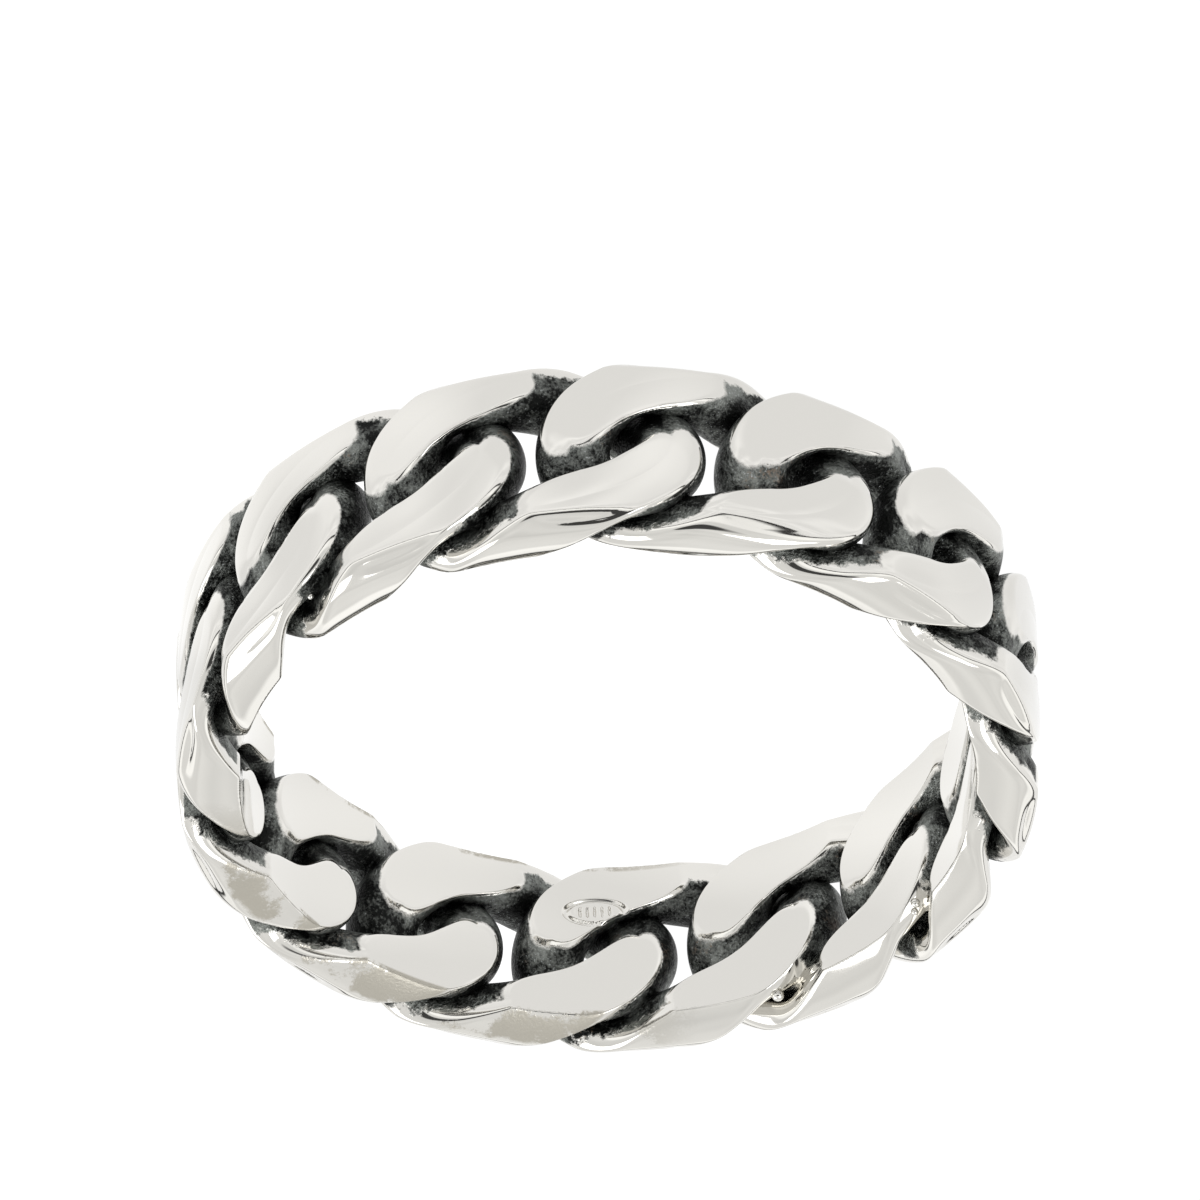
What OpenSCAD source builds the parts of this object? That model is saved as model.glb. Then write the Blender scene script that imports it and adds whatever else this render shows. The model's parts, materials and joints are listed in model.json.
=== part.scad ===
// Finger ring made of a closed curb chain, modelled lying on its side.
// Every link is a twisted loop of round wire that passes through the next one, and the whole
// band is ground: a true cylinder inside, a nearly flat face outside, crowned rims and round outer corners.
// +Z runs along the axis of the finger hole. The origin is on that axis, level with the lower rims.

/* [Band] */
// Inside diameter, where the finger goes
bore_d = 19.8; // [18.8:0.1:21]
// Wall of the band, from the bore to the crest of the outer faces
wall = 1.77; // [1.6:0.02:1.9]
// Width of the band between the crests of its two rims
band_w = 5.7; // [5.4:0.02:6]
// How far the outer faces fall from their crest to the rims
face_crown = 0.04; // [0.02:0.01:0.2]
// How far the crowned rims fall over half of the wall
rim_crown = 0.26; // [0.1:0.02:0.4]
// How far the crest of the rims lies outside the middle of the wall
rim_crest = 0.15; // [0.05:0.05:0.3]
// Radius of the corners between the outer faces and the rims
corner_r = 0.38; // [0.2:0.02:0.5]

/* [Links] */
// Number of links round the band
links = 14; // [13:1:15]
// Diameter of the wire before grinding
wire_d = 1.61; // [1.5:0.01:1.66]
// How far the loops of neighbouring links lap over each other, between the wire's centres
lap = 2.43; // [2.35:0.01:2.6]
// Width of a link's loop, between the wire's centres
loop_w = 4.54; // [4.4:0.02:4.8]
// Clearance between a link and the links that pass through it
link_gap = 0.12; // [0.08:0.01:0.14]

/* [Mesh] */
// Sides of the wire
wire_sides = 16; // [12:2:16]
// Rings of points along a link's loop
wire_rings = 34; // [30:2:34]

/* [Hidden] */
$fn = 96;
bore_r = bore_d / 2;
mid_r = bore_r + wall / 2;
pitch_angle = 360 / links;
pitch_l = 2 * PI * mid_r / links;
// Length of a link's loop, between the wire's centres
loop_l = pitch_l + lap;
// Share of the third harmonic that draws a loop's ends out to a blunt point
end_point = 0.076;
// Share of the third harmonic that straightens a loop's sides
side_flat = 0.038;
// Share of its height by which a loop leans along the band
lean = 0.03;
// Share of the third harmonic that gathers a link's twist at its four quarters
twist_gather = 0.09;
// The lift is searched for between these shares of the wire's diameter
lift_least = 0.3;
lift_most = 0.9;
lift_tries = 12;
lift_samples = 48;
// The corners' arcs stand this far outside the rims, so that the two cross
corner_lap = 0.02;
// The outer face's arc is a small piece of a very large circle, which needs this many sides
face_sides = 1440;

function link_name(k) = str("link_", k < 10 ? "0" : "", k);

// Height of a link's loop at angle t
function loop_high(t) = loop_w / 2 * ((1 + side_flat) * sin(t) + side_flat * sin(3 * t));

// A point of a link's loop at angle t, as arc length along the band, lift from its middle radius, height
function loop_flat(t, lift) = [
    loop_l / 2 * ((1 - end_point) * cos(t) + end_point * cos(3 * t)) - lean * loop_high(t),
    -lift * ((1 - twist_gather) * sin(2 * t) - twist_gather * sin(6 * t)),
    loop_high(t)
];

// The same point wrapped round the band, with the link's middle on -Y
function wrap(q) = let (a = q[0] / mid_r * 180 / PI, r = mid_r + q[1]) [r * sin(a), -r * cos(a), q[2]];
function loop_point(t, lift) = wrap(loop_flat(t, lift));
function turned(p, a) = [p[0] * cos(a) - p[1] * sin(a), p[0] * sin(a) + p[1] * cos(a), p[2]];

// Least distance between the wire's centres in two neighbouring links, for a given lift
function spacing(lift) = let (
    here = [for (i = [0:lift_samples - 1]) loop_point(360 * i / lift_samples, lift)],
    next = [for (p = here) turned(p, pitch_angle)]
) min([for (p = here) min([for (q = next) norm(p - q)])]);

// The lift of the twist that leaves the wires of two neighbours just clear, by halving an interval
function find_lift(low, high, tries) = tries <= 0 ? high :
    let (middle = (low + high) / 2)
    spacing(middle) < wire_d + link_gap
        ? find_lift(middle, high, tries - 1)
        : find_lift(low, middle, tries - 1);
lift = find_lift(lift_least * wire_d, lift_most * wire_d, lift_tries);

function unit(v) = v / norm(v);

// One ring of points round the wire, square to its run
function wire_ring(i) = let (
    step = 360 / wire_rings,
    t = step * i,
    c = loop_point(t, lift),
    along = unit(loop_point(t + step / 4, lift) - loop_point(t - step / 4, lift)),
    out = unit([c[0], c[1], 0]),
    across = unit(out - (out * along) * along),
    side = cross(along, across)
) [for (j = [0:wire_sides - 1]) let (b = 360 * j / wire_sides)
    c + wire_d / 2 * (cos(b) * across + sin(b) * side)];

// The closed loop of wire, before grinding
module wire_loop() {
    points = [for (i = [0:wire_rings - 1]) each wire_ring(i)];
    faces = [for (i = [0:wire_rings - 1], j = [0:wire_sides - 1]) let (
        i2 = (i + 1) % wire_rings,
        j2 = (j + 1) % wire_sides
    ) [i * wire_sides + j, i2 * wire_sides + j, i2 * wire_sides + j2, i * wire_sides + j2]];
    polyhedron(points, faces);
}

// Radius of the arc that falls by drop over half of the chord
function crown_r(chord, drop) = (chord * chord / 4 + drop * drop) / (2 * drop);

// Radius of the rims' crown, and how far from the axis its crest lies
rim_r = crown_r(wall, rim_crown);
crest_at = mid_r + rim_crest;

// Height of the upper rim over the band's middle, at a distance from the axis
function rim_height(r) = band_w / 2 - rim_r + sqrt(rim_r * rim_r - (r - crest_at) * (r - crest_at));

// The crowned upper rim in the band's cross-section
module rim_area() {
    intersection() {
        translate([crest_at, band_w / 2 - rim_r]) circle(rim_r);
        translate([bore_r, 0]) square([wall, band_w / 2]);
    }
}

// Everything within the round outer corners
module round_corners() {
    out = bore_r + wall - corner_r;
    up = rim_height(out) - corner_r + corner_lap;
    translate([bore_r, -band_w / 2]) square([wall - corner_r, band_w]);
    translate([bore_r, -up]) square([wall, 2 * up]);
    for (side = [-1, 1]) translate([out, side * up]) circle(corner_r);
}

// Cross-section of the ground band: straight at the bore, crowned at the outer face and both rims
module band_section() {
    face_r = crown_r(band_w, face_crown);
    side_h = rim_height(bore_r);
    intersection() {
        union() {
            translate([bore_r, -side_h]) square([wall, 2 * side_h]);
            rim_area();
            mirror([0, 1]) rim_area();
        }
        round_corners();
        translate([bore_r + wall - face_r, 0]) circle(face_r, $fn = face_sides);
    }
}
module ground_band() rotate_extrude() band_section();

module link(k) {
    color("silver")
        translate([0, 0, band_w / 2])
            rotate([0, 0, (k - 1) * pitch_angle])
                intersection() {
                    wire_loop();
                    ground_band();
                }
}

for (k = [1:links])
    link(k);
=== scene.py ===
"""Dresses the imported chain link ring: cast silver curb links, ground, polished, and black in their recesses.

The sizes in the classes are millimetres. A mesh is turned to metres as the last step of its making.
"""

import ast
import json
import logging
import math
from dataclasses import dataclass, fields
from enum import Enum

import bmesh
import bpy
from mathutils import Matrix, Vector


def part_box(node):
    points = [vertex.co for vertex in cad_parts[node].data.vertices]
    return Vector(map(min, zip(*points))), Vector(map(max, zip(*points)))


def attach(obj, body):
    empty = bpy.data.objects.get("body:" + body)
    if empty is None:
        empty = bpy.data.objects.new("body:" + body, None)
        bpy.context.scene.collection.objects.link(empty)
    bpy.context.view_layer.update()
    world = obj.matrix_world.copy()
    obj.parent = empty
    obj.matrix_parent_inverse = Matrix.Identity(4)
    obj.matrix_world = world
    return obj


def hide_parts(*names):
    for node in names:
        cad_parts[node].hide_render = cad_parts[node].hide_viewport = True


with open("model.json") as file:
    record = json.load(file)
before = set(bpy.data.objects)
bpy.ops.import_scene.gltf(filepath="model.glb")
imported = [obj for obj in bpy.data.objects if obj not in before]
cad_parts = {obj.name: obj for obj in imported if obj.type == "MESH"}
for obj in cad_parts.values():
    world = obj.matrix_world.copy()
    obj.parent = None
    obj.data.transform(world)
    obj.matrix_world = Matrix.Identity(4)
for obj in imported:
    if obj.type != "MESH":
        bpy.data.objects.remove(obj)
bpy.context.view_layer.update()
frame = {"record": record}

log = logging.getLogger("chain_link_ring")

METRES = 0.001  # turns millimetres to metres


def linear(hex_colour: str) -> tuple[float, float, float, float]:
    """Turns an sRGB hex colour to Blender's linear colour.

    Args:
        hex_colour: the colour, such as "#F4F1EA".

    Returns:
        Red, green, blue and an alpha of 1.
    """
    parts = [int(hex_colour[i : i + 2], 16) / 255 for i in (1, 3, 5)]
    red, green, blue = (p / 12.92 if p <= 0.04045 else ((p + 0.055) / 1.055) ** 2.4 for p in parts)
    return (red, green, blue, 1.0)


def add_node(
    tree: bpy.types.NodeTree, kind: str, settings: dict | None = None, links: dict | None = None
) -> bpy.types.Node:
    """Adds one node to a tree, with its settings and its inputs.

    Args:
        tree: the geometry or shader tree.
        kind: the node's type name.
        settings: the node's own properties.
        links: an input's name or number to a socket that it is linked from, or to its value.

    Returns:
        The new node.
    """
    node = tree.nodes.new(kind)
    for name, value in (settings or {}).items():
        setattr(node, name, value)
    for name, value in (links or {}).items():
        if isinstance(value, bpy.types.NodeSocket):
            tree.links.new(value, node.inputs[name])
        else:
            node.inputs[name].default_value = value
    return node


class Formulas:
    """Writes formulas into a node tree as Math nodes, and keeps each result under its name.

    A call of share() keeps a value between 0 and 1.
    """

    OPERATORS = {
        ast.Add: "ADD",
        ast.Sub: "SUBTRACT",
        ast.Mult: "MULTIPLY",
        ast.Div: "DIVIDE",
        ast.Pow: "POWER",
    }
    CALLS = {
        "sin": "SINE",
        "cos": "COSINE",
        "sqrt": "SQRT",
        "abs": "ABSOLUTE",
        "sign": "SIGN",
        "floor": "FLOOR",
        "atan2": "ARCTAN2",
        "min": "MINIMUM",
        "max": "MAXIMUM",
        "soft_min": "SMOOTH_MIN",
        "soft_max": "SMOOTH_MAX",
    }

    def __init__(
        self, tree: bpy.types.NodeTree, sizes: object | None = None, **known: bpy.types.NodeSocket | float
    ) -> None:
        """Starts with the sockets and numbers that the formulas may name.

        Args:
            tree: the tree that the Math nodes go into.
            sizes: a dataclass whose fields they may name.
            known: a socket or a number for each other name.
        """
        self.tree = tree
        self.known = {item.name: getattr(sizes, item.name) for item in fields(sizes)} if sizes else {}
        self.known.update(known)

    def __getitem__(self, name: str) -> bpy.types.NodeSocket | float:
        """Gives the socket or number kept under a name."""
        return self.known[name]

    def let(self, **formulas: str) -> None:
        """Writes formulas in order, each able to name the ones before it.

        Args:
            formulas: a formula in Python's notation for each new name.
        """
        for name, text in formulas.items():
            self.known[name] = self._read(ast.parse(text).body[0].value)

    def _read(self, part: ast.expr) -> bpy.types.NodeSocket | float:
        """Turns one part of a formula into a socket, or into a number where nothing in it varies.

        Args:
            part: the parsed part.

        Returns:
            The socket or number that holds its value.
        """
        if isinstance(part, ast.Constant):
            return float(part.value)
        if isinstance(part, ast.Name):
            return self.known[part.id]
        if isinstance(part, ast.UnaryOp):
            operation, parts = "MULTIPLY", [part.operand, ast.Constant(-1.0)]
        elif isinstance(part, ast.BinOp):
            operation, parts = self.OPERATORS[type(part.op)], [part.left, part.right]
        elif part.func.id == "share":
            links = {"Value": self._read(part.args[0])}
            return add_node(self.tree, "ShaderNodeClamp", links=links).outputs[0]
        else:
            operation, parts = self.CALLS[part.func.id], part.args
        values = dict(enumerate(self._read(item) for item in parts))
        return add_node(self.tree, "ShaderNodeMath", {"operation": operation}, values).outputs[0]


class Quality(Enum):
    """How finely a link is meshed: rings of points along its loop, and sides round its wire."""

    PLAIN = (250, 90)
    STAMPED = (500, 120)


@dataclass(frozen=True)
class Band:
    """The ground band that all the links lie in."""

    bore_r: float  # read from model.json; the width is read from the first link's part
    width: float
    wall: float = 1.77  # from the bore to the crest of the outer faces
    face_crown: float = 0.04  # how far the outer faces fall from their crest to the rims
    rim_crown: float = 0.2  # how far the rims fall over half of the wall
    rim_crest: float = 0.15  # how far the rims' crest lies outside the wall's middle
    corner_reach: float = 0.6  # how far the outer corners' rounding reaches over the rims
    corner_high: float = 0.28  # how far it reaches over the outer faces
    links: int = 14

    @property
    def pitch(self) -> float:
        """The angle from one link to the next."""
        return 2 * math.pi / self.links


@dataclass(frozen=True)
class Loop:
    """The twisted loop of wire that every link is ground from."""

    length: float = 7.27  # along the band, between the wire's centres
    width: float = 4.54  # across the band, between the wire's centres
    wire: float = 1.61  # the wire's diameter before grinding
    lift: float = 1.0  # how far the twist carries the wire out of the wall's middle, and in
    end_point: float = 0.076  # share of the third harmonic that draws the ends out to a blunt point
    side_flat: float = 0.038  # share of the third harmonic that straightens the sides
    lean: float = 0.03  # share of its height by which the loop leans along the band
    twist_gather: float = 0.09  # share of the third harmonic that gathers the twist at the four quarters


@dataclass(frozen=True)
class Hand:
    """What grinding and polishing by hand leave on a link."""

    face_soft: float = 0.35  # rounding of the edges of the outer faces
    rim_soft: float = 0.6  # rounding of the edges of the rims
    bore_soft: float = 0.05  # rounding of the edges of the inner faces
    square: float = 2.35  # power of the superellipse that the casting makes of the wire's section
    fill_out: float = 0.25  # how far the loop's outer side bulges, half way through the wall
    fill_in: float = 0.2  # how far its inner side does
    round_link: int = 1  # the link whose upper corner the wheel rounded most
    round_corner: float = 1.1  # how far that corner reaches over the outer face
    tip_reach: float = 0.15  # how much further the wheel polishes over a loop's ends
    face_fall: float = 0.0007  # fall of the outer face along the link, per millimetre squared
    crest: float = -0.3  # how far from the link's middle its two outer faces are highest
    wave: float = 0.05  # height of the slow waves in the surface
    wave_size: float = 2.6  # distance from wave to wave


@dataclass(frozen=True)
class Stamp:
    """A small oval stamp with plain bars, sunk into the bore side of one link."""

    link: int = 9
    arc: float = -2.23  # where its middle lies along the bore, from the link's middle
    height: float = -1.0  # where its middle lies, from the band's middle
    tilt: float = -0.06  # turn of its long axis, in radians
    length: float = 1.6
    width: float = 0.82
    line: float = 0.07  # half the width of the line round it
    depth: float = 0.1
    bar_pitch: float = 0.2  # from one bar to the next


@dataclass(frozen=True)
class Bead:
    """A small bead that a bubble in the casting mould left on a link's upper rim."""

    x: float
    y: float
    size: float  # its radius
    rise: float  # how high its middle stands over the rim


@dataclass(frozen=True)
class BlackenedSilver:
    """Cast sterling silver, oxidised black all over, then ground and buffed back to bright metal.

    The eye sees warm white mirror faces, soot-black hollows with painted shade that deepens into them and fine
    glints painted in as bright specks, and a ragged, grainy border where the buffing wheel lost its reach.
    Silver keeps the default IOR and is metallic all over.
    """

    bright: str = "#DBD9D4"
    tarnish: str = "#B4B0A6"
    black: str = "#1D1E1D"
    slate: str = "#868985"  # where the black is worn down, and lighter near the polish as painted shade that deepens into the hollows
    rust: str = "#7A6350"
    # spark is the colour of the painted glints in the black
    spark: str = "#B9BDBE"
    bright_roughness: float = 0.07
    frost_roughness: float = 0.45
    black_roughness: float = 0.42
    face_reach: float = 0.1  # how deep below an outer face the wheel still polishes
    bore_reach: float = 0.1  # how deep outside the bore it does
    rim_reach: float = 0.4  # how deep below a rim it does
    deep_reach: float = 1.0  # how deep below a rim it does on the far side, past the frosted rims
    border: float = 0.05  # width of the border between polish and black
    border_fall: float = 0.012  # how far the polish lies under the black coat
    worn_width: float = 0.5  # how far past that border the black is worn down and painted lighter, a painted shade that darkens into the hollows; the rust keeps to this belt too
    frost_width: float = 1.1  # how far from the bore the rims are left frosted
    frost_depth: float = 0.12  # how deep below a rim they are
    frost_end: float = 5.0  # how far the frosted rims reach past the middle
    pit: tuple[float, float] = (-9.75, 5.15)  # place on a rim that the wheel left black
    pit_size: tuple[float, float] = (0.36, 0.3)
    ragged: float = 0.16  # how far the border of the polish wanders
    wander_size: float = 0.55  # from bay to bay of that border
    grain: float = 0.09  # casting grain, drawn about twice as coarse as it is so that it shows
    grain_height: float = 0.07  # from its lowest to its highest
    glint_size: float = 0.05  # the painted glints: bright specks in the black's colour that stand in for glinting grain
    patch_size: float = 1.3  # patches of tarnish and rust
    smear_size: float = 0.8  # smears where the black is rubbed thin

    def material(self) -> bpy.types.Material:
        """Builds the material.

        Returns:
            The finished material, which reads Object coordinates and the links' depth attribute.
        """
        material = bpy.data.materials.new("blackened_silver")
        material.use_nodes = True
        tree = material.node_tree
        tree.nodes.clear()
        f = self._patterns(tree)
        self._wear(f)
        links = {"Strength": 1.0, "Distance": METRES, "Height": f["height"]}
        normal = add_node(tree, "ShaderNodeBump", links=links).outputs[0]
        links = {"Base Color": self._colour(f), "Metallic": 1.0, "Roughness": f["rough"], "Normal": normal}
        shader = add_node(tree, "ShaderNodeBsdfPrincipled", links=links)
        add_node(tree, "ShaderNodeOutputMaterial", links={"Surface": shader.outputs[0]})
        return material

    def _patterns(self, tree: bpy.types.NodeTree) -> Formulas:
        """Adds the place, the depths below the ground surfaces and the noise patterns.

        Args:
            tree: the shader tree.

        Returns:
            Formulas that know them, and this finish's own values.
        """
        place = add_node(tree, "ShaderNodeTexCoord").outputs["Object"]
        scale = {"operation": "SCALE"}
        point = add_node(tree, "ShaderNodeVectorMath", scale, {0: place, "Scale": 1 / METRES}).outputs[0]
        spot = add_node(tree, "ShaderNodeSeparateXYZ", links={0: point})
        depth = add_node(tree, "ShaderNodeAttribute", {"attribute_name": "depth"})
        split = add_node(tree, "ShaderNodeSeparateXYZ", links={0: depth.outputs["Vector"]})
        f = Formulas(
            tree,
            self,
            face=split.outputs["X"],
            bore=split.outputs["Y"],
            rim=split.outputs["Z"],
            right=spot.outputs["X"],
            far=spot.outputs["Y"],
            pit_x=self.pit[0],
            pit_y=self.pit[1],
            pit_long=self.pit_size[0],
            pit_wide=self.pit_size[1],
        )
        # Each pattern's size in millimetres, its octaves, and how much the finer octaves count
        patterns = {
            "wander": (self.wander_size, 5.0, 0.62),
            "speck": (self.grain, 3.0, 0.6),
            "glint": (self.glint_size, 1.0, 0.5),
            "patch": (self.patch_size, 3.0, 0.5),
            "smear": (self.smear_size, 4.0, 0.6),
        }
        for name, (size, octaves, finer) in patterns.items():
            links = {"Vector": point, "Scale": 1 / size, "Detail": octaves, "Roughness": finer}
            f.known[name] = add_node(tree, "ShaderNodeTexNoise", links=links).outputs["Fac"]
        return f

    @staticmethod
    def _wear(f: Formulas) -> None:
        """Writes how far the silver is polished, frosted, worn down and painted lighter as the shade falls
        off, rusted and dotted with painted glints, and how rough it is.

        Depths and reaches are millimetres. A share of a finish runs from 0 to 1, over a slope that is steep
        where its border is sharp, and the patterns, which lie round 0.5, make the border ragged.

        Args:
            f: the material's formulas.
        """
        # How far a place lies within the wheel's reach, by whichever ground surface puts it furthest in
        f.let(
            stray="(wander - 0.5) * 2 * ragged + (speck - 0.5) * 0.09",
            over_face="face_reach - face + stray * 0.45",
            over_bore="bore_reach - bore + stray * 0.5",
            past_end="share((right + frost_end) * -0.5 + 0.5) * share(far * 0.5)",
            reach_here="rim_reach + (deep_reach - rim_reach) * past_end",
            over_rim="(reach_here - rim) * 0.5 + stray * 1.3",
            over="max(max(over_face, over_bore), over_rim)",
        )
        # The polish, all but the black pit, and the belt past its border where the black is worn down and
        # painted lighter, a painted shade that darkens deeper into the hollows
        f.let(
            aside="((right - pit_x) / pit_long) ** 2 + ((far - pit_y) / pit_wide) ** 2",
            clear="share((sqrt(aside) + (wander - 0.5) * 2) * 3 - 2.4)",
            polish="share(over / border + 0.5) * clear",
            near="share(over / worn_width + 1.0)",
        )
        # The tarnish on the far rims, and what breaks up the black: wear with painted shade, rust and painted
        # glints
        f.let(
            on_rim="share((frost_depth - rim) * 12) * share((frost_width - bore) * 8 + (wander - 0.5) * 5)",
            far_side="share((far - 3) * 0.5) * share((right + frost_end) * 0.4)",
            patches="share((patch - 0.44) * 12 + (speck - 0.5) * 3.5)",
            frosted="patches * on_rim * far_side",
            # Painted shade: the black turns lighter towards the polish and darker deeper in the hollows,
            # broken up by random smears of wear
            thin="share(near * 0.55 + (smear - 0.5) * 4 + (speck - 0.5) * 2)",
            rusted="share((patch - 0.6) * 9 + (speck - 0.6) * 5) * near * 0.7",
            # Painted glints: bright specks in the colour, standing in for light glinting off the grain
            sparkling="share((glint - 0.66) * 14) * share(smear * 4 - 1.6)",
        )
        # The roughness of the metal and of the black, and the height of the casting grain
        f.let(
            frost_rough="(frost_roughness - bright_roughness) * frosted",
            metal_rough="bright_roughness + frost_rough + (smear - 0.5) * 0.04",
            black_rough="black_roughness + (speck - 0.5) * 0.3",
            rough="black_rough + (metal_rough - black_rough) * polish",
            height="(speck - 0.5) * grain_height * (1 - polish * (1 - frosted * 0.3)) - polish * border_fall",
        )

    def _colour(self, f: Formulas) -> bpy.types.NodeSocket:
        """Lays the coats of colour over each other.

        Args:
            f: the material's formulas.

        Returns:
            The colour of the surface.
        """
        colours = {
            "bright": linear(self.bright),
            "tarnish": linear(self.tarnish),
            "black": linear(self.black),
            "slate": linear(self.slate),
            "rust": linear(self.rust),
            "spark": linear(self.spark),
        }
        # The mix's name, its lower coat, its upper coat, and the share of the upper one
        coats = (
            ("metal", "bright", "tarnish", "frosted"),
            # The worn black with its painted shade, lighter towards the polish and darker in the hollows
            ("rubbed", "black", "slate", "thin"),
            ("stained", "rubbed", "rust", "rusted"),
            # The painted glints go over the black
            ("hollow", "stained", "spark", "sparkling"),
            ("surface", "hollow", "metal", "polish"),
        )
        for name, lower, upper, share in coats:
            links = {"Factor": f[share], 6: colours[lower], 7: colours[upper]}
            colours[name] = add_node(f.tree, "ShaderNodeMix", {"data_type": "RGBA"}, links).outputs[2]
        return colours["surface"]


class LinkTree:
    """The Geometry Nodes tree that makes one ground curb link from its sizes."""

    INPUTS = (
        ("Turn", "NodeSocketFloat"),
        ("Rings", "NodeSocketInt"),
        ("Sides", "NodeSocketInt"),
        ("Loop Length", "NodeSocketFloat"),
        ("Loop Width", "NodeSocketFloat"),
        ("Wire", "NodeSocketFloat"),
        ("Lift", "NodeSocketFloat"),
        ("End Point", "NodeSocketFloat"),
        ("Side Flat", "NodeSocketFloat"),
        ("Lean", "NodeSocketFloat"),
        ("Twist Gather", "NodeSocketFloat"),
        ("Bore Radius", "NodeSocketFloat"),
        ("Wall", "NodeSocketFloat"),
        ("Band Width", "NodeSocketFloat"),
        ("Face Crown", "NodeSocketFloat"),
        ("Rim Crown", "NodeSocketFloat"),
        ("Rim Crest", "NodeSocketFloat"),
        ("Corner Reach", "NodeSocketFloat"),
        ("Corner High", "NodeSocketFloat"),
        ("Upper Corner", "NodeSocketFloat"),
        ("Face Fall", "NodeSocketFloat"),
        ("Crest", "NodeSocketFloat"),
        ("Face Soft", "NodeSocketFloat"),
        ("Rim Soft", "NodeSocketFloat"),
        ("Bore Soft", "NodeSocketFloat"),
        ("Square", "NodeSocketFloat"),
        ("Fill Out", "NodeSocketFloat"),
        ("Fill In", "NodeSocketFloat"),
        ("Tip Reach", "NodeSocketFloat"),
        ("Wave", "NodeSocketFloat"),
        ("Wave Size", "NodeSocketFloat"),
        ("Stamp Arc", "NodeSocketFloat"),
        ("Stamp Height", "NodeSocketFloat"),
        ("Stamp Tilt", "NodeSocketFloat"),
        ("Stamp Length", "NodeSocketFloat"),
        ("Stamp Width", "NodeSocketFloat"),
        ("Stamp Line", "NodeSocketFloat"),
        ("Stamp Depth", "NodeSocketFloat"),
        ("Bar Pitch", "NodeSocketFloat"),
        ("Material", "NodeSocketMaterial"),
    )

    def __init__(self) -> None:
        """Builds the tree and keeps each input's socket identifier."""
        self.tree = bpy.data.node_groups.new("ground_curb_link", "GeometryNodeTree")
        face = self.tree.interface
        face.new_socket("Link", in_out="OUTPUT", socket_type="NodeSocketGeometry")
        self.identifiers = {}
        for name, kind in self.INPUTS:
            socket = face.new_socket(name, in_out="INPUT", socket_type=kind)
            self.identifiers[name] = socket.identifier
        self._build()

    def _build(self) -> None:
        """Fills the tree: the loop's points, the ground section round them, and the grinding surfaces."""
        tree = self.tree
        entry = add_node(tree, "NodeGroupInput").outputs
        index = add_node(tree, "GeometryNodeInputIndex").outputs[0]
        f = Formulas(tree, index=index, tau=2 * math.pi)
        f.known.update({name.lower().replace(" ", "_"): entry[name] for name, _ in self.INPUTS})
        self._loop(f)
        self._section(f)
        self._grind(f)
        self._stamp(f)
        f.let(
            up_z="low_z + half_w",
            far_x="ground_r * sin(where + turn)",
            far_y="ground_r * cos(where + turn) * -1",
        )

        path = add_node(tree, "GeometryNodeCurvePrimitiveCircle", links={"Resolution": entry["Rings"]})
        round_wire = add_node(tree, "GeometryNodeCurvePrimitiveCircle", links={"Resolution": entry["Sides"]})
        skin = add_node(tree, "GeometryNodeCurveToMesh", links={0: path.outputs[0], 1: round_wire.outputs[0]})
        # The formulas run round the wire the other way than the skin's sides do, so its faces are turned.
        outward = add_node(tree, "GeometryNodeFlipFaces", links={0: skin.outputs[0]})
        links = {0: f["face_depth"], 1: f["bore_depth"], 2: f["rim_depth"]}
        depth = add_node(tree, "ShaderNodeCombineXYZ", links=links)
        on_points = {"data_type": "FLOAT_VECTOR", "domain": "POINT"}
        links = {"Geometry": outward.outputs[0], "Name": "depth", "Value": depth.outputs[0]}
        stored = add_node(tree, "GeometryNodeStoreNamedAttribute", on_points, links)
        point = add_node(tree, "ShaderNodeCombineXYZ", links={0: f["far_x"], 1: f["far_y"], 2: f["up_z"]})
        waves = self._waves(f, entry, point.outputs[0])
        metres = add_node(tree, "ShaderNodeVectorMath", {"operation": "SCALE"}, {0: waves, "Scale": METRES})
        links = {"Geometry": stored.outputs[0], "Position": metres.outputs[0]}
        moved = add_node(tree, "GeometryNodeSetPosition", links=links)
        smooth = add_node(tree, "GeometryNodeSetShadeSmooth", links={0: moved.outputs[0]})
        real = add_node(tree, "GeometryNodeRealizeInstances", links={0: smooth.outputs[0]})
        links = {"Geometry": real.outputs[0], "Material": entry["Material"]}
        dressed = add_node(tree, "GeometryNodeSetMaterial", links=links)
        add_node(tree, "NodeGroupOutput", links={0: dressed.outputs[0]})

    @staticmethod
    def _loop(f: Formulas) -> None:
        """Writes the loop's centreline, as arc along the band, rise from its middle radius and height.

        Args:
            f: the tree's formulas.
        """
        # t goes round the loop and b round the wire. A step is the slope of what it is named for.
        f.let(
            mid_r="bore_radius + wall / 2",
            half_w="band_width / 2",
            ring_number="floor((index + 0.5) / sides)",
            t="tau * ring_number / rings",
            b="tau * (index - ring_number * sides) / sides",
            high="loop_width / 2 * ((1 + side_flat) * sin(t) + side_flat * sin(3 * t))",
            high_step="loop_width / 2 * ((1 + side_flat) * cos(t) + 3 * side_flat * cos(3 * t))",
            run="loop_length / 2 * ((1 - end_point) * cos(t) + end_point * cos(3 * t)) - lean * high",
            end_step="loop_length / 2 * ((1 - end_point) * sin(t) + 3 * end_point * sin(3 * t))",
            run_step="(end_step + lean * high_step) * -1",
            rise="lift * ((1 - twist_gather) * sin(2 * t) - twist_gather * sin(6 * t)) * -1",
            rise_step="lift * (2 * (1 - twist_gather) * cos(2 * t) - 6 * twist_gather * cos(6 * t)) * -1",
            radius="mid_r + rise",
            arc_step="radius / mid_r * run_step",
            step="sqrt(arc_step ** 2 + rise_step ** 2 + high_step ** 2)",
            along_arc="arc_step / step",
            along_out="rise_step / step",
            along_up="high_step / step",
        )

    @staticmethod
    def _section(f: Formulas) -> None:
        """Writes the section's outline as a distance from a point that lies well inside the ground band.

        Each limiting surface gives one over its distance along the ray, so the largest is the nearest.

        Args:
            f: the tree's formulas.
        """
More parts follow.
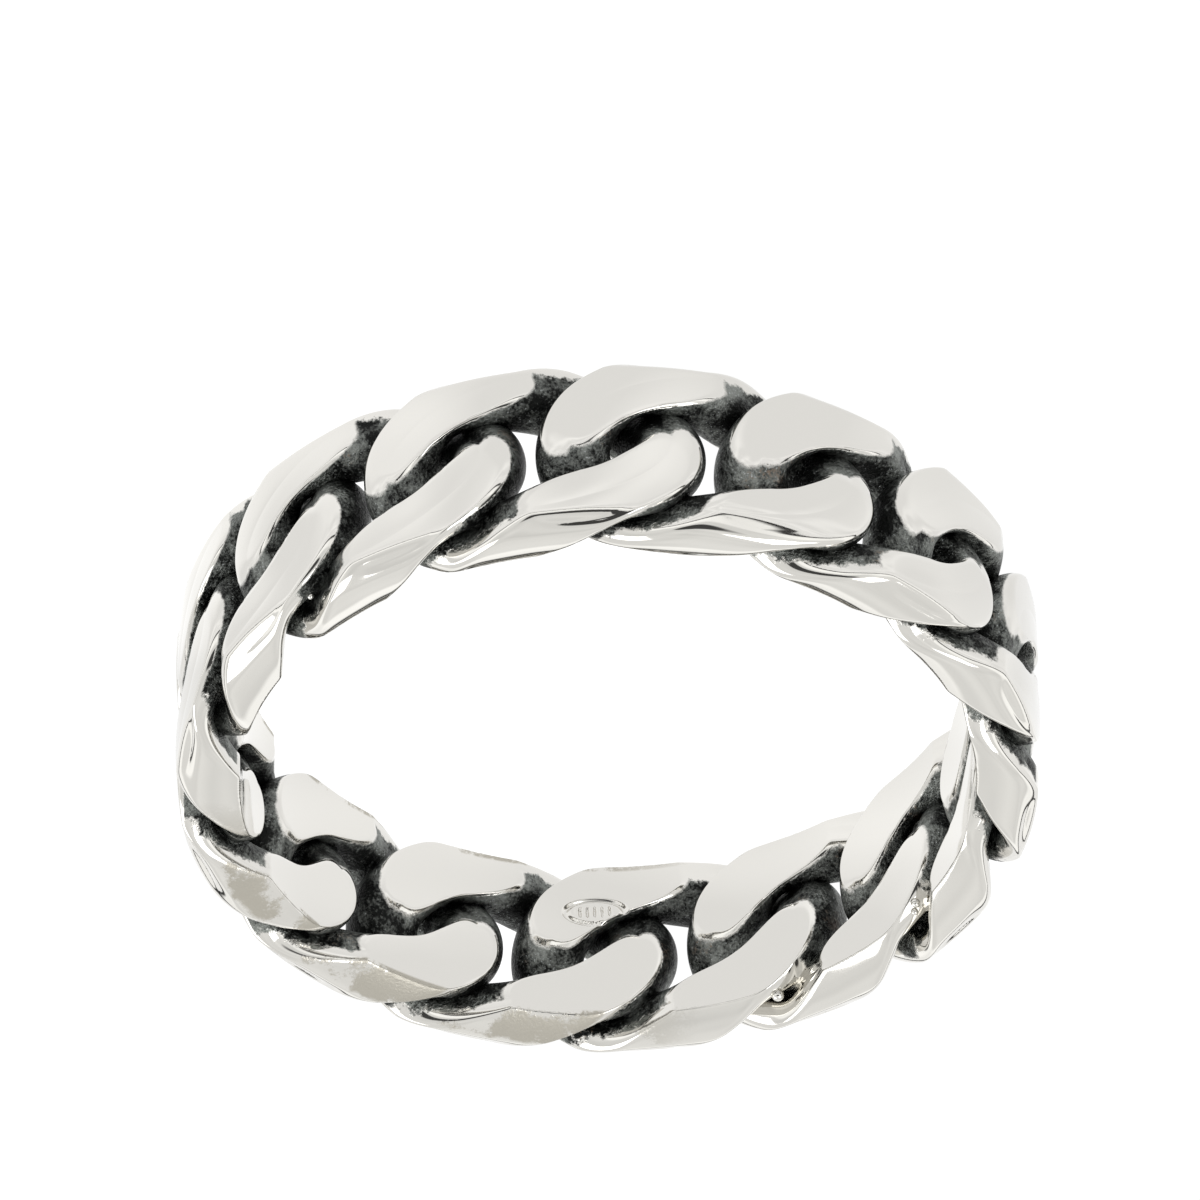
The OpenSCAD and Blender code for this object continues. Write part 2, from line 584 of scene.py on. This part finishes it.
        # The rays start from the heart. That is the wire's middle, but it is shifted into the wall where
        # the bore or the outer face comes closer to it than the inset.
        f.let(
            inset="wire * 0.2",
            lap="wire * 0.03",
            level_share="sqrt(1 - along_out ** 2)",
            across_arc="along_out * along_arc / level_share * -1",
            across_up="along_out * along_up / level_share * -1",
            ray_arc="cos(b) * across_arc - sin(b) * along_up / level_share",
            ray_out="cos(b) * level_share",
            ray_up="cos(b) * across_up + sin(b) * along_arc / level_share",
            face_here="bore_radius + wall - face_crown * (high / half_w) ** 2",
            heart_r="soft_min(soft_max(radius, bore_radius + inset, inset), face_here - inset, inset)",
            shift="(heart_r - radius) / level_share",
            heart_up="high + shift * across_up",
            round_reach="sqrt((wire / 2) ** 2 - (shift * sin(b)) ** 2) - shift * cos(b)",
            from_out="abs(shift + round_reach * cos(b)) + 0.001",
            from_side="abs(round_reach * sin(b)) + 0.001",
            corner_norm="(from_out ** square + from_side ** square) ** (1 / square)",
            stretch="sqrt(from_out ** 2 + from_side ** 2) / corner_norm",
            wire_reach="sqrt((wire / 2 * stretch) ** 2 - (shift * sin(b)) ** 2) - shift * cos(b)",
            to_face="ray_out / (face_here + lap - heart_r)",
            to_bore="ray_out / (heart_r - bore_radius + lap) * -1",
            spare="rim_soft * 0.6",
            to_top="ray_up / (half_w + spare - heart_up)",
            to_foot="ray_up / (half_w + spare + heart_up) * -1",
            reach="1 / max(max(1 / wire_reach, max(to_face, to_bore)), max(to_top, to_foot))",
            side_arc="shift * across_arc + reach * ray_arc",
            side_out="radius + shift * level_share + reach * ray_out",
            side_up="heart_up + reach * ray_up",
            off_middle="(sqrt(side_arc ** 2 + side_out ** 2) - mid_r) / (wall / 2)",
        )
        # The casting is fuller than bent wire: the loop's sides bulge, most in the wall's middle.
        f.let(
            bulge_out="fill_out * (1 - 0.3 * sin(t) ** 4) * max(sin(b) * -1, 0)",
            bulge_in="fill_in * max(sin(b), 0) * (0.6 + 0.4 * sin(t) ** 2)",
            belly="(bulge_out + bulge_in) * max(1 - 0.4 * off_middle ** 2, 0)",
            side_arc="side_arc + belly * ray_arc",
            side_out="side_out + belly * ray_out",
            side_up="side_up + belly * ray_up",
        )

    @staticmethod
    def _grind(f: Formulas) -> None:
        """Writes the ground surfaces: a cylinder inside, a crowned face outside, crowned rims, round corners.

        Args:
            f: the tree's formulas.
        """
        # A corner is a quarter of an ellipse, drawn as a circle by making its height slimmer.
        f.let(
            where="run / mid_r + atan2(side_arc, side_out)",
            wire_r="sqrt(side_arc ** 2 + side_out ** 2)",
            rim_at="half_w - rim_crown * ((wire_r - mid_r - rim_crest) / (wall / 2)) ** 2",
            level="min(abs(side_up), rim_at)",
            past_crest="where * mid_r + sign(side_up) * crest * min(level * 2, 1)",
            face_at="bore_radius + wall - face_crown * (level / half_w) ** 2 - face_fall * past_crest ** 2",
            high_here="corner_high + (upper_corner - corner_high) * share(side_up * 2)",
            slimmer="corner_reach / high_here",
            corner_out="max(wire_r - (face_at - corner_reach), 0)",
            corner_up="max(abs(side_up) - (rim_at - high_here), 0) * slimmer",
            corner="sqrt(corner_out ** 2 + corner_up ** 2) + 0.0001",
            soft="face_soft + (rim_soft - face_soft) * corner_up / corner",
            pull="soft_min(corner, corner_reach, soft) / corner",
            outer_r="min(wire_r, face_at - corner_reach) + corner_out * pull",
            faced_r="soft_max(outer_r, bore_radius, bore_soft)",
            low_z="sign(side_up) * (min(abs(side_up), rim_at - high_here) + corner_up * pull / slimmer)",
            tip="max(abs(cos(t)) * 5 - 4, 0) * max(sin(b) * -1, 0)",
            face_depth="corner_reach - corner - tip_reach * tip",
            bore_depth="wire_r - bore_radius",
            rim_depth="rim_at - abs(side_up)",
        )

    @staticmethod
    def _stamp(f: Formulas) -> None:
        """Writes the oval stamp with plain bars, which deepens the bore side only.

        Args:
            f: the tree's formulas.
        """
        # The bars fill 0.78 of the oval, and are 0.34 mm high.
        f.let(
            off_arc="where * bore_radius - stamp_arc",
            off_up="low_z - stamp_height",
            mark_x="off_arc * cos(stamp_tilt) + off_up * sin(stamp_tilt)",
            mark_y="off_up * cos(stamp_tilt) - off_arc * sin(stamp_tilt)",
            oval="sqrt((mark_x / stamp_length * 2) ** 2 + (mark_y / stamp_width * 2) ** 2)",
            border="max(1 - abs(oval - 1) * stamp_width / 2 / stamp_line, 0)",
            within="share((0.78 - oval) * 6)",
            bars="max(cos(tau * mark_x / bar_pitch), 0) * within * share((0.17 - abs(mark_y)) * 20)",
            on_bore="share(1 - bore_depth * 8)",
            ground_r="faced_r + stamp_depth * max(border, bars) * on_bore",
        )

    @staticmethod
    def _waves(
        f: Formulas, entry: bpy.types.NodeOutputs, point: bpy.types.NodeSocket
    ) -> bpy.types.NodeSocket:
        """Adds the slow waves that hand polishing leaves.

        Args:
            f: the tree's formulas.
            entry: the tree's inputs.
            point: the ground point, in millimetres.

        Returns:
            The point, moved along a noise vector.
        """
        f.let(wave_scale="1 / wave_size")
        links = {"Vector": point, "Scale": f["wave_scale"], "Detail": 1.0, "Roughness": 0.4}
        moved = add_node(f.tree, "ShaderNodeTexNoise", links=links).outputs["Color"]
        for operation, links in (
            ("SUBTRACT", {1: (0.5, 0.5, 0.5)}),
            ("SCALE", {"Scale": entry["Wave"]}),
            ("ADD", {1: point}),
        ):
            settings = {"operation": operation}
            moved = add_node(f.tree, "ShaderNodeVectorMath", settings, {0: moved} | links).outputs[0]
        return moved


@dataclass
class ChainBand:
    """The sub-assembly of all the links, each a piece of its own."""

    band: Band
    loop: Loop
    hand: Hand
    stamp: Stamp
    finish: BlackenedSilver

    def build(self) -> list[bpy.types.Object]:
        """Makes every link in order and sets it in place of its CAD node.

        Returns:
            The finished pieces.
        """
        tree = LinkTree()
        material = self.finish.material()
        return [self._link(tree, material, number) for number in range(1, self.band.links + 1)]

    def _link(self, tree: LinkTree, material: bpy.types.Material, number: int) -> bpy.types.Object:
        """Makes one link.

        Args:
            tree: the tree that makes links.
            material: the links' finish.
            number: the link's number round the band, from 1.

        Returns:
            The link, riding on its body.
        """
        node = f"link_{number:02d}"
        piece = bpy.data.objects.new(f"silver_{node}", bpy.data.meshes.new("seed"))
        bpy.context.scene.collection.objects.link(piece)
        modifier = piece.modifiers.new("link", "NODES")
        modifier.node_group = tree.tree
        for name, value in (self._sizes(number) | {"Material": material}).items():
            modifier[tree.identifiers[name]] = value
        bpy.context.view_layer.update()
        made = bpy.data.meshes.new_from_object(piece.evaluated_get(bpy.context.evaluated_depsgraph_get()))
        piece.modifiers.remove(modifier)
        piece.data = made
        made.name = piece.name
        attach(piece, "root")
        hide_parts(node)
        log.info("%s: %d faces", piece.name, len(made.polygons))
        return piece

    def _sizes(self, number: int) -> dict[str, float]:
        """Gives one link's sizes for the tree's inputs.

        Args:
            number: the link's number round the band, from 1.

        Returns:
            A value for each input's name, but the material's.
        """
        stamped = number == self.stamp.link
        rounded = number == self.hand.round_link
        rings, sides = (Quality.STAMPED if stamped else Quality.PLAIN).value
        return {
            "Turn": (number - 1) * self.band.pitch,
            "Rings": rings,
            "Sides": sides,
            "Loop Length": self.loop.length,
            "Loop Width": self.loop.width,
            "Wire": self.loop.wire,
            "Lift": self.loop.lift,
            "End Point": self.loop.end_point,
            "Side Flat": self.loop.side_flat,
            "Lean": self.loop.lean,
            "Twist Gather": self.loop.twist_gather,
            "Bore Radius": self.band.bore_r,
            "Wall": self.band.wall,
            "Band Width": self.band.width,
            "Face Crown": self.band.face_crown,
            "Rim Crown": self.band.rim_crown,
            "Rim Crest": self.band.rim_crest,
            "Corner Reach": self.band.corner_reach,
            "Corner High": self.band.corner_high,
            "Upper Corner": self.hand.round_corner if rounded else self.band.corner_high,
            "Face Fall": self.hand.face_fall,
            "Crest": self.hand.crest,
            "Face Soft": self.hand.face_soft,
            "Rim Soft": self.hand.rim_soft,
            "Bore Soft": self.hand.bore_soft,
            "Square": self.hand.square,
            "Fill Out": self.hand.fill_out,
            "Fill In": self.hand.fill_in,
            "Tip Reach": self.hand.tip_reach,
            "Wave": self.hand.wave,
            "Wave Size": self.hand.wave_size,
            "Stamp Arc": self.stamp.arc,
            "Stamp Height": self.stamp.height,
            "Stamp Tilt": self.stamp.tilt,
            "Stamp Length": self.stamp.length,
            "Stamp Width": self.stamp.width,
            "Stamp Line": self.stamp.line,
            "Stamp Depth": self.stamp.depth if stamped else 0.0,
            "Bar Pitch": self.stamp.bar_pitch,
        }


@dataclass
class CastingBeads:
    """The beads on the rims, each a small round piece partly sunk in its link."""

    beads: tuple[Bead, ...] = (
        Bead(x=9.64, y=-5.38, size=0.1, rise=0.02),
        Bead(x=-6.79, y=7.81, size=0.17, rise=0.06),
        Bead(x=-9.5, y=3.45, size=0.13, rise=0.04),
        Bead(x=-9.53, y=3.66, size=0.1, rise=0.03),
    )
    above: float = 10.0  # the rays that find the rims come down from this height

    def build(self, links: list[bpy.types.Object]) -> None:
        """Sets every bead on its link.

        Args:
            links: the links' pieces in order.
        """
        for number, bead in enumerate(self.beads, start=1):
            start = Vector((bead.x, bead.y, self.above)) * METRES
            casts = [link.ray_cast(start, Vector((0, 0, -1))) for link in links]
            hits = [(place, normal) for hit, place, normal, _ in casts if hit]
            if not hits:
                log.warning("bead %d misses the links", number)
                continue
            place, normal = max(hits, key=lambda found: found[0].z)
            middle = Matrix.Translation(place + normal * (bead.rise * METRES))
            ball = bmesh.new()
            bmesh.ops.create_icosphere(ball, subdivisions=4, radius=bead.size * METRES, matrix=middle)
            for part in ball.faces:
                part.smooth = True
            shape = bpy.data.meshes.new(f"casting_bead_{number}")
            ball.to_mesh(shape)
            ball.free()
            shape.materials.append(links[0].data.materials[0])
            piece = bpy.data.objects.new(shape.name, shape)
            bpy.context.scene.collection.objects.link(piece)
            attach(piece, "root")
            log.info("%s: %d faces", piece.name, len(shape.polygons))


@dataclass
class Studio:
    """The pale floor, the soft light and the camera.

    Distances are metres, angles are degrees, and places in the frame are its pixels. A height on the tent
    is the sine of its angle over the horizon.
    """

    centre: Vector
    elevation: float = 39.06  # how high over the floor the camera stands
    azimuth: float = 15.05  # how far it is turned from -Y towards +X
    distance: float = 0.834  # from the camera to the ring
    turn_over: float = 180.0  # the photo shows the near side at the top
    level: float = -0.48  # how far off level the camera is held
    pixels_per_mm: float = 37.12  # at the ring's middle
    frame_pixels: float = 1200.0
    ring_x: float = 607.4  # the ring's middle, from the frame's left
    ring_y: float = 711.3  # the ring's middle, from the frame's top
    table_glow: float = 1.0
    table_cloud: float = 0.22  # how much more the floor glows in its bright patches
    table_patches: float = 130.0  # patches to a metre, each about 8 mm wide
    tent: float = 1.0  # glow of the tent
    wall: float = 1.38  # glow of its brighter foot
    wall_top: float = 0.36  # height up to which the foot reaches
    seam_height: float = 0.02  # height of the dark seam where tent and floor meet
    seam_width: float = 0.05
    seam_dark: float = 0.97  # share of the glow that is lost in the seam
    port_width: float = 0.4  # how far the tent's dark camera opening reaches to each side
    port_height: float = 0.15  # how far it reaches up and down
    port_dark: float = 0.93  # share of the glow that is lost in the opening
    cloth_folds: float = 2.2  # folds over the tent's width
    cloth_shade: float = 0.5  # how much the folds change the glow

    def build(self) -> None:
        """Sets up the floor, the lights and the camera."""
        self._floor()
        self._light()
        self._camera()
        log.info("floor, tent, two softboxes and camera in place")

    def _floor(self) -> None:
        """Makes the floor that the ring lies on: opal acrylic, softly lit from below."""
        bpy.ops.mesh.primitive_plane_add(size=2.0, location=(0, 0, 0))
        floor = bpy.context.object
        floor.name = "floor"
        material = bpy.data.materials.new("opal_acrylic")
        material.use_nodes = True
        shader = material.node_tree.nodes["Principled BSDF"]
        shader.inputs["Base Color"].default_value = linear("#202020")
        shader.inputs["Roughness"].default_value = 1.0
        shader.inputs["Specular IOR Level"].default_value = 0.0
        shader.inputs["Emission Color"].default_value = linear("#FFFFFF")
        tree = material.node_tree
        place = add_node(tree, "ShaderNodeTexCoord").outputs["Object"]
        links = {"Vector": place, "Scale": self.table_patches, "Detail": 1.0}
        cloud = add_node(tree, "ShaderNodeTexNoise", links=links).outputs["Fac"]
        f = Formulas(tree, self, cloud=cloud)
        f.let(glow="table_glow + table_cloud * share(cloud * 4 - 1.7)")
        tree.links.new(f["glow"], shader.inputs["Emission Strength"])
        floor.data.materials.append(material)

    def _light(self) -> None:
        """Makes the white tent with its dark seam at the horizon, and the softboxes in it."""
        world = bpy.data.worlds.new("tent")
        bpy.context.scene.world = world
        world.use_nodes = True
        tree = world.node_tree
        direction = add_node(tree, "ShaderNodeTexCoord").outputs["Generated"]
        split = add_node(tree, "ShaderNodeSeparateXYZ", links={0: direction})
        links = {"Vector": direction, "Scale": self.cloth_folds, "Detail": 1.0}
        cloth = add_node(tree, "ShaderNodeTexNoise", links=links).outputs["Fac"]
        f = Formulas(
            tree,
            self,
            x=split.outputs["X"],
            y=split.outputs["Y"],
            z=split.outputs["Z"],
            cloth=cloth,
            port_z=math.sin(math.radians(self.elevation)),
            front=math.radians(self.azimuth),
        )
        f.let(
            seam="share(1.6 - abs(z - seam_height) / seam_width)",
            foot="share((wall_top - z) * 14)",
            aside="x * cos(front) + y * sin(front)",
            ahead="x * sin(front) - y * cos(front)",
            off_port="sqrt((aside / port_width) ** 2 + ((z - port_z) / port_height) ** 2)",
            port="share((1.2 - off_port) * 4) * share(ahead * 4)",
            folds="1 + (cloth - 0.5) * cloth_shade",
            glow="(tent + (wall - tent) * foot) * folds * (1 - seam_dark * seam) * (1 - port_dark * port)",
        )
        back = tree.nodes["Background"]
        tree.links.new(f["glow"], back.inputs["Strength"])
        back.inputs["Color"].default_value = linear("#F7F7F6")
        self._softbox("key", place=(-0.35, -0.25, 0.55), size=0.35, watts=1.2)
        self._softbox("fill", place=(0.4, 0.3, 0.5), size=0.4, watts=1.0)

    def _softbox(self, name: str, place: tuple[float, float, float], size: float, watts: float) -> None:
        """Adds one square softbox that looks at the ring.

        Args:
            name: the light's name.
            place: where it hangs, in metres.
            size: the length of its side, in metres.
            watts: its power.
        """
        lamp = bpy.data.lights.new(name, "AREA")
        lamp.size = size
        lamp.energy = watts
        item = bpy.data.objects.new(name, lamp)
        item.location = place
        item.rotation_euler = (self.centre - Vector(place)).to_track_quat("-Z", "Y").to_euler()
        bpy.context.scene.collection.objects.link(item)

    def _camera(self) -> None:
        """Sets the camera at the photo's angle to the ring, turned over as the photo is."""
        high, turn = math.radians(self.elevation), math.radians(self.azimuth)
        away = math.cos(high)
        back = Vector((math.sin(turn) * away, -math.cos(turn) * away, math.sin(high)))
        level_right = Vector((math.cos(turn), math.sin(turn), 0))
        level_up = back.cross(level_right)
        roll = math.radians(self.turn_over + self.level)
        right = level_right * math.cos(roll) + level_up * math.sin(roll)
        up = level_up * math.cos(roll) - level_right * math.sin(roll)
        data = bpy.data.cameras.new("camera")
        camera = bpy.data.objects.new("camera", data)
        spot = self.centre + back * self.distance
        camera.matrix_world = Matrix.Translation(spot) @ Matrix((right, up, back)).transposed().to_4x4()
        data.shift_x = 0.5 - self.ring_x / self.frame_pixels
        data.shift_y = self.ring_y / self.frame_pixels - 0.5
        view_width = self.frame_pixels / self.pixels_per_mm * METRES
        data.lens = data.sensor_width * self.distance / view_width
        data.clip_end = 10.0
        bpy.context.scene.collection.objects.link(camera)
        bpy.context.scene.camera = camera


def main() -> None:
    """Builds the ring and the studio."""
    logging.basicConfig(level=logging.INFO, format="%(name)s: %(message)s")
    low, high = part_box("link_01")
    bore = next(m for m in frame["record"]["mounts"] if m["name"] == "finger_bore")
    band = Band(bore_r=bore["dims"]["r_mm"], width=(high.z - low.z) / METRES)
    chain = ChainBand(band, Loop(), Hand(), Stamp(), BlackenedSilver())
    pieces = chain.build()
    log.info("%d links in place", len(pieces))
    bpy.context.view_layer.update()
    CastingBeads().build(pieces)
    Studio(centre=Vector((0, 0, band.width / 2 * METRES))).build()
    bpy.context.scene.view_settings.view_transform = "Standard"


if __name__ == "__main__":
    main()
